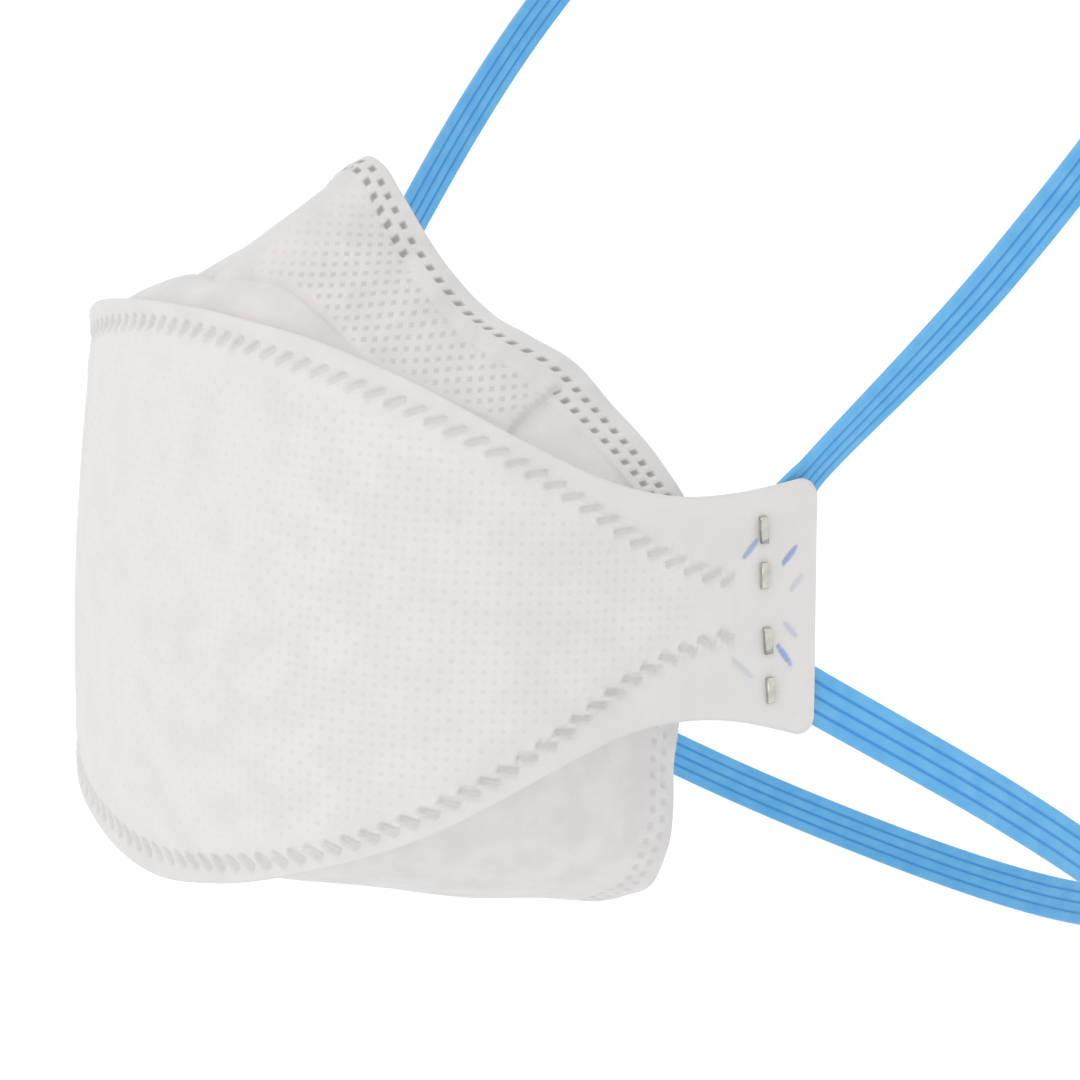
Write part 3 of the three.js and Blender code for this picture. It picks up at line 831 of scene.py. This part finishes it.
def build_centre_panel(settings):
    """Closed sheet of the centre panel and its tabs, with the seam welds pressed into it."""
    straight = HALF_LENGTH - TAB_CORNER
    corner = straight + TAB_CORNER * np.sin(np.radians(np.arange(7.5, 91, 7.5)))
    half = np.concatenate([np.linspace(0, straight, int(straight / CENTRE_STEP)), corner])
    along = np.concatenate([-half[:0:-1], half])[:, None]
    distance = np.abs(along)
    at = {name: read(CENTRE_SECTIONS, name, distance) for name in list(CENTRE_SECTIONS)[2:]}
    drop = corner_drop(along)
    zone = np.minimum(2.6, 0.3 * (at["seam_up"] - at["seam_down"]))
    levels = [
        at["edge_down"] + drop, at["seam_down"], at["seam_down"] + zone,
        at["seam_up"] - zone, at["seam_up"], at["edge_up"] - drop,
    ]
    counts = [22, 9, 46, 9, 22]
    height = np.concatenate([
        low + (high - low) * np.linspace(0, 1, count, endpoint=False)
        for low, high, count in zip(levels, levels[1:], counts)
    ] + [levels[-1]], axis=1)
    along = np.broadcast_to(along, height.shape)
    distance = np.abs(along)

    row, inward, shows = seam_coordinates(along, height)
    sheared_row = sheared(SEAM_WELD, row, inward)
    marks = weld_profile(SEAM_WELD, sheared_row, inward, 0.22) * shows
    with_rim = dict(
        SEAM_WELD,
        length=SEAM_WELD["length"] + WELD_RIM["longer"],
        width=SEAM_WELD["width"] + WELD_RIM["wider"],
    )
    rims = weld_profile(with_rim, sheared_row, inward, WELD_RIM["soft"]) * shows - marks
    valley = mound(inward, 0, VALLEY["width"]) * shows
    shoulder = mound(inward, SHOULDER["inward"], SHOULDER["width"]) * shows
    blue, grey, from_mark = tab_marks(along, height)
    edge_gap = np.minimum(height - levels[0], levels[-1] - height)
    waves = soft_waves(along, height * 0.6, "centre") * smooth(edge_gap / 10)
    fine_waves = soft_waves(along, height, "centre_fine") * smooth(edge_gap / 5)
    lift = waves + fine_waves + WELD_RIM["height"] * np.maximum(rims, 0)
    lift = lift + SHOULDER["height"] * shoulder
    in_mark = smooth(0.5 - from_mark / 0.4)
    lift -= settings.weld_depth * marks + VALLEY["depth"] * valley + MARK_DEPTH * in_mark
    ripple = soft_waves(along, height * 0, "centre_edge") * smooth(1 - edge_gap / 4)
    fade = smooth((HALF_LENGTH - 12 - distance) / 20) * 0.7 + 0.3
    lift = (lift + ripple * fade).clip(-MOST_RELIEF, MOST_RELIEF)
    outer = wall_point(along, height, -lift)

    picked = inner_face_rows(height.shape[1])
    thickness = CLOTH * edge_taper(edge_gap)
    inner = wall_point(along, height, thickness - waves - ripple * fade)[:, picked]

    emboss = smooth((inward - 1.6) / 2.0) * smooth((86 - distance) / 6)
    emboss = emboss * (0.55 + 0.45 * smooth((distance - 18) / 16))
    cloth = np.stack([along, height, emboss], -1)
    weld = np.stack([sheared_row, inward, shows * smooth((6 - inward) / 2)], -1)
    spots = np.stack([blue, grey, from_mark], -1)
    tab = smooth((distance - 82) / 10)
    share = 0.1 * smooth(-0.2 - inward) * (1 - tab) + 0.06 * tab
    pressed_and_shade = np.stack([share] * 3, -1)
    attributes = {
        "cloth_mm": (cloth, cloth[:, picked]),
        "weld_mm": (weld, weld[:, picked] * [1, 1, 0]),
        "pressed_and_shade": (pressed_and_shade, pressed_and_shade[:, picked]),
        "tab_marks": (spots, spots[:, picked] * 0 + [0, 0, 9]),
    }
    material = centre_cloth_material(settings)
    piece = add_shell("centre_panel_cloth", outer, inner, attributes, material)
    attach(piece, BODY)
    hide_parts("centre_panel")
    return piece


def build_folded_panel(panel, name, node, lift_of, attributes_of, material):
    """Closed sheet of the top or bottom panel, with its relief on the outer face."""
    half = np.linspace(0, PANEL_END, int(PANEL_END / PANEL_STEP))
    along = np.concatenate([-half[:0:-1], half])[:, None]
    across = np.concatenate([spread((-1, -0.1, 4), (-0.1, 0.06, 8)), np.linspace(0.06, 1, 92)])
    along, across = np.broadcast_arrays(along, across[None, :])
    middle = panel_point(panel, along, across)
    normal = grid_normals(middle) * panel["up"]
    to_edge = np.linalg.norm(middle - middle[:, -1:], axis=-1)
    lift, waves = lift_of(along, across, to_edge)
    lift = lift * smooth(across / 0.05)
    waves = waves * smooth(across / 0.15)
    taper = edge_taper(to_edge)[..., None]
    outer = middle + normal * (CLOTH / 2 * taper + lift[..., None] + waves[..., None])
    picked = inner_face_rows(across.shape[1])
    inner = (middle - normal * (CLOTH / 2 * taper - waves[..., None]))[:, picked]
    attributes = {
        key: (values, values[:, picked] * [1, 1, 0])
        for key, values in attributes_of(along, across, to_edge).items()
    }
    piece = add_shell(name, outer, inner, attributes, material, flip=panel["up"] < 0)
    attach(piece, BODY)
    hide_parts(node)
    return piece


def crease_along(across):
    """Where the cross crease of the top panel runs, as a distance along the cloth."""
    return 55.4 - 5.6 * across


def nose_row(column, along, across):
    """Distance along a row of nose welds, from the row, and how clearly its marks show."""
    distance = np.abs(along)
    row, away = edge_row(TOP_PANEL, NOSE_ROWS, NOSE_WELD, column, along, across)
    shows = smooth((77 - distance) / 2) * (across > 0.1)
    if column == "inner_in":
        shows = shows * smooth((read(NOSE_ROWS, "inner_shows", distance) - 0.4) / 0.2)
    return row, away / read(NOSE_ROWS, "longer", distance), shows


def top_lift(along, across, to_edge):
    """Relief of the top panel, and the slow waves that its inner face follows."""
    distance = np.abs(along)
    crease = read(LOBE, "crease", distance)
    rise = np.maximum(read(LOBE, "rise", distance), 0)
    lobe = rise * np.sin(np.pi * np.clip(across / crease, 0, 1) ** 0.8) ** 0.8
    groove_and_shade = 0.4 * rise * mound(across, crease, 0.02)
    band = read(NOSE_ROWS, "band", distance)
    strip = 0.55 * smooth((band - to_edge) / 0.6) * smooth((82 - distance) / 10)
    past = distance - crease_along(across)
    upper_end = smooth((0.78 - across) / 0.12)
    tuck = 1.0 * smooth(past / 0.4) * np.exp(-np.maximum(past, 0) / 5) * upper_end
    ridge = 0.3 * mound(past, -0.9, 1.0) * upper_end
    lift = lobe - groove_and_shade + strip - tuck + ridge
    for column in ("outer_in", "inner_in"):
        row, away, shows = nose_row(column, along, across)
        lift -= 0.3 * weld_profile(NOSE_WELD, row, away, 0.3) * shows
    waves = soft_waves(along, to_edge, "top") + soft_waves(along, to_edge, "top_fine")
    return lift, waves


def top_attributes(along, across, to_edge):
    """What each point of the top panel holds for its material: the embossing is level, so it is
    laid out by place in plan and height, and stops at the puffed lobe, the band and the crease."""
    distance = np.abs(along)
    point = panel_point(TOP_PANEL, along, across)
    turn = math.radians(EMBOSS_TURN)
    level = np.abs(point[..., 0]) * math.cos(turn) + point[..., 1] * math.sin(turn)
    band = read(NOSE_ROWS, "band", distance)
    first = read(LOBE, "embossed", distance)
    emboss = smooth((across - first) / 0.03) * smooth((to_edge - band) / 0.8)
    emboss *= smooth((crease_along(across) - distance) / 1.5) * smooth((distance - 1.5) / 3)
    emboss *= 0.35 + 0.65 * smooth((distance - 6) / 9)
    # Painted shade: the smooth strip just over the seam, in the valley behind the centre panel's
    # flange, is greyed with the pressed colour.
    strip = smooth((first - across) / 0.03) * smooth((distance - 20) / 8)
    strip *= 0.4 * smooth((crease_along(across) - distance) / 1.5)
    found = {
        "cloth_mm": np.stack([level, point[..., 2] * EMBOSS_CLOSER, emboss], -1),
        "pressed_and_shade": np.stack([strip] * 3, -1),
    }
    for name, column in (("outer_welds", "outer_in"), ("inner_welds", "inner_in")):
        found[name] = np.stack(nose_row(column, along, across), -1)
    return found


def chin_row(column, along, across):
    """Distance along a row of chin welds, from the row, and how clearly its marks show."""
    row, away = edge_row(BOTTOM_PANEL, CHIN_ROWS, CHIN_WELD, column, along, across)
    return row, away, smooth((74 - np.abs(along)) / 2)


def bottom_lift(along, across, to_edge):
    """Relief of the bottom panel, one long fold and a sag toward each cheek, and its slow waves."""
    distance = np.abs(along)
    winding = 0.12 * np.sin(distance / 14)
    fold = mound(across - 0.5, winding, 0.10) * smooth((60 - distance) / 20)
    sag = mound(distance, 47, 5) * smooth(across / 0.6)
    lift = 0.35 * fold - 0.3 * sag
    for column in ("outer_in", "inner_in"):
        row, away, shows = chin_row(column, along, across)
        lift -= 0.16 * weld_profile(CHIN_WELD, row, away, 0.25) * shows
    waves = soft_waves(along, to_edge, "bottom") + soft_waves(along, to_edge, "bottom_fine")
    return lift, waves


def bottom_attributes(along, across, to_edge):
    """What each point of the bottom panel holds for its material."""
    found = {"cloth_mm": np.stack([along, to_edge, np.zeros(along.shape)], -1)}
    for name, column in (("outer_welds", "outer_in"), ("inner_welds", "inner_in")):
        row, away, shows = chin_row(column, along, across)
        found[name] = np.stack([row, away, shows * (across > 0.1)], -1)
    return found


# ---------------------------------------------------------------- straps


def strap_on_tab(place, deeper=0.0):
    """Centre line of a strap where it lies on the inside of the left tab."""
    return wall_point(*place, CLOTH + GAP + STRAP_THICKNESS / 2 + deeper)


def strap_points(route):
    """Points that a strap's centre line follows, from the right tab round to the left one."""
    start, held = strap_on_tab(route["start"]), strap_on_tab(route["held"])
    leaves = strap_on_tab(route["exit"], route["exit_depth"])
    clear = leaves + (leaves - held) / np.linalg.norm(leaves - held) * STRAP_WIDTH / 2
    slope = math.radians(route["slope"])
    reach, half_span = route["loop"]["reach"], route["loop"]["half_span"]
    loop = np.stack([
        half_span, leaves[1] + reach * math.cos(slope), leaves[2] + reach * math.sin(slope),
    ], -1)
    left = np.vstack([start, held, leaves, clear, loop])
    right = left[:-1] * [-1, 1, 1]
    return np.vstack([right, left[::-1]])


def smooth_line(points, steps):
    """Centripetal curve through the points, read at even distances: places and directions."""
    ends = [2 * points[0] - points[1], 2 * points[-1] - points[-2]]
    held = np.vstack([ends[0], points, ends[1]])
    gaps = np.sqrt(np.linalg.norm(np.diff(held, axis=0), axis=1))
    places, directions = [], []
    t = np.linspace(0, 1, 60, endpoint=False)[:, None]
    for k in range(1, len(held) - 2):
        p0, p1, p2, p3 = held[k - 1:k + 3]
        d0, d1, d2 = gaps[k - 1:k + 2]
        m1 = ((p1 - p0) / d0 - (p2 - p0) / (d0 + d1) + (p2 - p1) / d1) * d1
        m2 = ((p2 - p1) / d1 - (p3 - p1) / (d1 + d2) + (p3 - p2) / d2) * d1
        c2 = -3 * p1 + 3 * p2 - 2 * m1 - m2
        c3 = 2 * p1 - 2 * p2 + m1 + m2
        places.append(p1 + m1 * t + c2 * t**2 + c3 * t**3)
        directions.append(m1 + 2 * c2 * t + 3 * c3 * t**2)
    places = np.vstack([*places, points[-1]])
    directions = np.vstack([*directions, points[-1] - points[-2]])
    lengths = run_lengths(places)
    even = np.linspace(0, lengths[-1], steps)
    line = np.stack([np.interp(even, lengths, places[:, i]) for i in range(3)], -1)
    tangent = np.stack([np.interp(even, lengths, directions[:, i]) for i in range(3)], -1)
    return line, tangent / np.linalg.norm(tangent, axis=-1, keepdims=True), even


def band_normals(route, line, tangent):
    """Outward normal of the band: flat on the tab at first, then facing out of the loop."""
    slope = math.radians(route["slope"])
    upright = np.array([0, -math.sin(slope), math.cos(slope)])
    leaves = strap_on_tab(route["exit"], route["exit_depth"])
    reach = (line[:, 1] - leaves[1]) / math.cos(slope)
    side = np.where(line[:, 0] < 0, -1, 1)
    outward = np.cross(upright, tangent)
    outward /= np.linalg.norm(outward, axis=-1, keepdims=True)
    twist = (side * np.radians(read(route["twist"], "twist", reach)))[:, None]
    outward = outward * np.cos(twist) + np.cross(tangent, outward) * np.sin(twist)
    turn = math.radians(float(read(CENTRE_SECTIONS, "turn", route["exit"][0], True)))
    from_tab = np.stack([
        side * math.sin(turn), np.full(len(line), -math.cos(turn)), 0 * reach,
    ], -1)
    first, last = route["settle"]
    settled = smooth((reach - first) / (last - first))[:, None]
    normal = from_tab * (1 - settled) + outward * settled
    normal -= tangent * (normal * tangent).sum(-1, keepdims=True)
    return normal / np.linalg.norm(normal, axis=-1, keepdims=True)


def build_strap(level, settings, material):
    """Ribbed band swept along the whole loop."""
    route = ROUTES[level]
    line, tangent, distance = smooth_line(strap_points(route), STRAP_STEPS)
    normal = band_normals(route, line, tangent)
    sideways = np.cross(tangent, normal)
    half = STRAP_WIDTH / 2
    face_points = np.linspace(-half + 0.3, half - 0.3, 57)
    w = np.concatenate([[-half, -half + 0.12], face_points, [half - 0.12, half]])
    rib = STRAP_WIDTH / settings.ribs
    to_groove = np.abs((w / rib + settings.ribs / 2 + 0.5) % 1 - 0.5) * rib
    groove_and_shade = mound(to_groove, 0, GROOVE_WIDTH) * (np.abs(w) < half - rib / 2)
    crown = RIB_CROWN * np.sin(np.pi * np.clip(to_groove / (rib / 2), 0, 1) / 2)
    past_side = np.maximum(np.abs(w) - (half - STRAP_ROUNDING), 0)
    rounding = np.sqrt(np.clip(1 - (past_side / (STRAP_ROUNDING + 0.01)) ** 2, 0, 1))
    face = STRAP_THICKNESS / 2 - 0.1 + crown - settings.groove_depth * groove_and_shade
    face = face * (0.35 + 0.65 * rounding)
    section_w = np.concatenate([w, w[::-1]])
    section_n = np.concatenate([face, -face[::-1]])
    # The groove profile also goes to the material, where it paints shade in the grooves.
    section_groove_shade = np.concatenate([groove_and_shade, groove_and_shade[::-1]])
    out_way = normal[:, None] * section_n[None, :, None]
    rings = line[:, None] + sideways[:, None] * section_w[None, :, None] + out_way
    place = np.stack(np.broadcast_arrays(
        distance[:, None], section_w[None], section_groove_shade[None],
    ), -1)
    piece = add_mesh(
        f"{level}_head_strap_band", rings.reshape(-1, 3),
        tube_faces(STRAP_STEPS, len(section_w), flip=True),
        {"strap_mm": place.reshape(-1, 3)}, material,
    )
    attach(piece, BODY)
    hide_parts(f"{level}_head_strap")
    return piece


# ---------------------------------------------------------------- staples


def staple_frame(staple, side):
    """Corner of a staple and its directions: down the crown, inward through the tab, across."""
    top, low = (wall_point(side * a, h) for a, h in zip(staple["along"], staple["height"]))
    span = np.linalg.norm(low - top)
    down = (low - top) / span
    turn = math.radians(float(read(CENTRE_SECTIONS, "turn", staple["along"][0], True)))
    inward = np.array([-side * math.sin(turn), math.cos(turn), 0])
    inward -= down * (inward @ down)
    inward /= np.linalg.norm(inward)
    return top, down, inward, np.cross(down, inward), span


def bent_wire(corners, radius):
    """Points of a line whose inner corners are rounded."""
    points = [corners[0]]
    for before, corner, after in zip(corners, corners[1:], corners[2:]):
        to_before = (before - corner) / np.linalg.norm(before - corner)
        to_after = (after - corner) / np.linalg.norm(after - corner)
        for t in np.linspace(0, 1, 6):
            a, b = corner + to_before * radius * (1 - t), corner + to_after * radius * t
            points.append(a + (b - a) * t)
    return np.array([*points, corners[-1]])


def build_staple(side_name, side, level, settings, material):
    """Flat wire with rounded edges: crown inside over the strap, legs clinched outside."""
    top, down, inward, across, span = staple_frame(STAPLES[level], side)
    half_wire = WIRE_THICKNESS / 2
    outside = -GAP - half_wire
    inside = CLOTH + STRAP_THICKNESS + 2 * GAP + half_wire
    clinched = outside + CLINCH_SINKS
    corners = np.array([
        [CLINCHED_LEG, clinched], [half_wire, outside], [half_wire, inside],
        [span - half_wire, inside], [span - half_wire, outside], [span - CLINCHED_LEG, clinched],
    ])
    line = bent_wire(corners, settings.bend_radius)
    steps = np.gradient(line, axis=0)
    steps /= np.linalg.norm(steps, axis=-1, keepdims=True)
    side_way = np.stack([-steps[:, 1], steps[:, 0]], -1)
    turns = np.radians(np.arange(0, 91, 30))
    wide, thick = WIRE_WIDTH / 2 - WIRE_ROUNDING, half_wire - WIRE_ROUNDING
    quarter = np.stack([
        wide + WIRE_ROUNDING * np.cos(turns), thick + WIRE_ROUNDING * np.sin(turns),
    ], -1)
    signs = [(1, 1, 1), (-1, 1, -1), (-1, -1, 1), (1, -1, -1)]
    outline = np.concatenate([quarter[::order] * [sx, sy] for sx, sy, order in signs])
    lengths = run_lengths(line)
    vertices = []
    for (x, y), (nx, ny) in zip(line, side_way):
        for w, n in outline:
            vertices.append(top + down * (x + nx * n) + inward * (y + ny * n) + across * w)
    place = np.stack(np.broadcast_arrays(
        lengths[:, None], outline[None, :, 0], outline[None, :, 1],
    ), -1)
    name = f"staple_{side_name}_{level}"
    faces = tube_faces(len(line), len(outline))
    piece = add_mesh(f"{name}_wire", vertices, faces, {"wire_mm": place.reshape(-1, 3)}, material)
    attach(piece, BODY)
    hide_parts(name)
    return piece


# ---------------------------------------------------------------- settings


def colour_property(name, description, hex_value):
    """Colour setting shown with a swatch."""
    return FloatVectorProperty(
        name=name, description=description, default=linear(hex_value),
        subtype="COLOR", size=4, min=0, max=1,
    )


class MaskClothSettings(bpy.types.PropertyGroup):
    centre_colour: colour_property("Centre panel", "Colour of the outer spunbond cloth", 0xD6D4D3)
    top_colour: colour_property("Top panel", "Colour of the embossed cloth over the nose", 0xD3D0CE)
    bottom_colour: colour_property("Bottom panel", "Colour of the cloth under the chin", 0xD6D4D3)
    # Greys the centre panel's flange and tab a little, and paints shade on the top panel's strip
    # behind the flange.
    pressed_and_shade_colour: colour_property("Pressed", "Colour where the layers are pressed flat", 0xB9B8B7)
    weld_colour: colour_property("Seam weld", "Colour of the film in the seam welds", 0xB4B3B3)
    nose_weld_colour: colour_property("Nose weld", "Colour of the deep nose welds", 0x8A8785)
    weld_depth: FloatProperty(
        name="Weld depth", description="How deep the seam welds are pressed, in mm",
        default=0.32, min=0, max=0.8,
    )


class MaskStrapSettings(bpy.types.PropertyGroup):
    colour: colour_property("Strap", "Colour of the elastic", 0x57A5DA)
    # Painted shade in the grooves between the ribs.
    groove_shade_colour: colour_property("Groove", "Colour in the grooves between the ribs", 0x2F8AD0)
    ribs: IntProperty(name="Ribs", description="Ribs across the band", default=4, min=1, max=8)
    groove_depth: FloatProperty(
        name="Groove depth", description="Depth of the grooves, in mm",
        default=0.24, min=0, max=0.4,
    )


class MaskStapleSettings(bpy.types.PropertyGroup):
    colour: colour_property("Wire", "Colour of the galvanised steel", 0xD2D0C9)
    bend_radius: FloatProperty(
        name="Bend radius", description="Radius of the bends of the wire, in mm",
        default=0.5, min=0.1, max=1,
    )


class MaskStageSettings(bpy.types.PropertyGroup):
    floor_colour: colour_property("Floor", "Colour of the pale floor", 0xFFFFFF)
    sky_strength: FloatProperty(
        name="Room light", description="Strength of the even light", default=1.05, min=0,
    )
    key_power: FloatProperty(
        name="Key light", description="Power of the large soft light in front",
        default=2.2, min=0, unit="POWER",
    )
    floor_drop: FloatProperty(
        name="Floor drop", description="Distance of the floor under the mask",
        default=0.16, min=0, unit="LENGTH",
    )


# ---------------------------------------------------------------- operators


class MASK_OT_stage(bpy.types.Operator):
    """Adds the camera, the pale floor and the soft lights"""
    bl_idname = "mask.stage"
    bl_label = "Stage"

    def execute(self, context):
        settings = context.scene.mask_stage
        scene = context.scene
        scene.view_settings.view_transform = "Standard"
        azimuth, elevation = math.radians(CAMERA["azimuth"]), math.radians(CAMERA["elevation"])
        target = Vector(CAMERA["target"]) * MM
        toward = Vector((
            math.sin(azimuth) * math.cos(elevation),
            -math.cos(azimuth) * math.cos(elevation),
            math.sin(elevation),
        ))
        data = bpy.data.cameras.new("Camera")
        data.lens = CAMERA["lens"]
        data.clip_start = 0.01
        camera = bpy.data.objects.new("Camera", data)
        camera.location = target + toward * CAMERA["distance"] * MM
        camera.rotation_euler = toward.to_track_quat("Z", "Y").to_euler()
        scene.collection.objects.link(camera)
        scene.camera = camera

        world = bpy.data.worlds.new("Studio")
        world.use_nodes = True
        world.node_tree.nodes["Background"].inputs["Color"].default_value = (1, 1, 1, 1)
        world.node_tree.nodes["Background"].inputs["Strength"].default_value = settings.sky_strength
        scene.world = world

        key_data = bpy.data.lights.new("Key", "AREA")
        key_data.shape = "RECTANGLE"
        key_data.size, key_data.size_y = 0.8, 0.6
        key_data.energy = settings.key_power
        key = bpy.data.objects.new("Key", key_data)
        key.location = (0.25, -0.95, 0.6)
        key.rotation_euler = (key.location - target).to_track_quat("Z", "Y").to_euler()
        scene.collection.objects.link(key)

        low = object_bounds()[0][2] - settings.floor_drop
        reach = 30.0
        mesh = bpy.data.meshes.new("floor")
        corners = [(-reach, -reach), (reach, -reach), (reach, reach), (-reach, reach)]
        mesh.from_pydata([(*corner, low) for corner in corners], [], [(0, 1, 2, 3)])
        material, tree, shader = start_material("matt white paper", settings.floor_colour, 0.9)
        grain = add_node(tree, "ShaderNodeTexNoise", inputs={"Scale": 400.0, "Detail": 2.0})
        raise_surface(tree, shader, (grain.outputs["Fac"], 0.02))
        mesh.materials.append(material)
        floor = bpy.data.objects.new("floor", mesh)
        scene.collection.objects.link(floor)
        floor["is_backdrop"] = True
        return {"FINISHED"}


class MASK_OT_centre_panel(bpy.types.Operator):
    """Builds the cloth of the centre panel with its seam welds"""
    bl_idname = "mask.centre_panel"
    bl_label = "Centre panel"

    def execute(self, context):
        build_centre_panel(context.scene.mask_cloth)
        return {"FINISHED"}


class MASK_OT_folded_panels(bpy.types.Operator):
    """Builds the top and bottom panels with their relief and edge welds"""
    bl_idname = "mask.folded_panels"
    bl_label = "Top and bottom panels"

    def execute(self, context):
        settings = context.scene.mask_cloth
        build_folded_panel(
            TOP_PANEL, "top_panel_cloth", "top_panel", top_lift, top_attributes,
            top_cloth_material(settings),
        )
        build_folded_panel(
            BOTTOM_PANEL, "bottom_panel_cloth", "bottom_panel", bottom_lift, bottom_attributes,
            bottom_cloth_material(settings),
        )
        return {"FINISHED"}


class MASK_OT_head_straps(bpy.types.Operator):
    """Builds the two ribbed elastic straps"""
    bl_idname = "mask.head_straps"
    bl_label = "Head straps"

    def execute(self, context):
        settings = context.scene.mask_straps
        material = strap_material(settings)
        for level in ROUTES:
            build_strap(level, settings, material)
        return {"FINISHED"}


class MASK_OT_staples(bpy.types.Operator):
    """Builds the four staples"""
    bl_idname = "mask.staples"
    bl_label = "Staples"

    def execute(self, context):
        settings = context.scene.mask_staples
        material = staple_material(settings)
        for side_name, side in (("left", 1), ("right", -1)):
            for level in STAPLES:
                build_staple(side_name, side, level, settings, material)
        return {"FINISHED"}


class MASK_PT_panel(bpy.types.Panel):
    """Lists the steps that build the mask"""
    bl_idname = "MASK_PT_panel"
    bl_label = "Folding respirator mask"
    bl_space_type = "VIEW_3D"
    bl_region_type = "UI"
    bl_category = "Mask"

    def draw(self, context):
        for operator in OPERATORS:
            self.layout.operator(operator.bl_idname)
        for settings in SETTINGS:
            group = getattr(context.scene, settings)
            for name in group.__annotations__:
                self.layout.prop(group, name)


SETTINGS = {
    "mask_cloth": MaskClothSettings,
    "mask_straps": MaskStrapSettings,
    "mask_staples": MaskStapleSettings,
    "mask_stage": MaskStageSettings,
}
OPERATORS = (
    MASK_OT_stage,
    MASK_OT_centre_panel,
    MASK_OT_folded_panels,
    MASK_OT_head_straps,
    MASK_OT_staples,
)


def register():
    for group in (*SETTINGS.values(), *OPERATORS, MASK_PT_panel):
        bpy.utils.register_class(group)
    for name, group in SETTINGS.items():
        setattr(bpy.types.Scene, name, PointerProperty(type=group))


def unregister():
    for name in SETTINGS:
        delattr(bpy.types.Scene, name)
    for group in (MASK_PT_panel, *OPERATORS, *SETTINGS.values()):
        bpy.utils.unregister_class(group)


def main():
    register()
    bpy.ops.mask.stage()
    bpy.ops.mask.centre_panel()
    bpy.ops.mask.folded_panels()
    bpy.ops.mask.head_straps()
    bpy.ops.mask.staples()


if __name__ == "__main__":
    main()
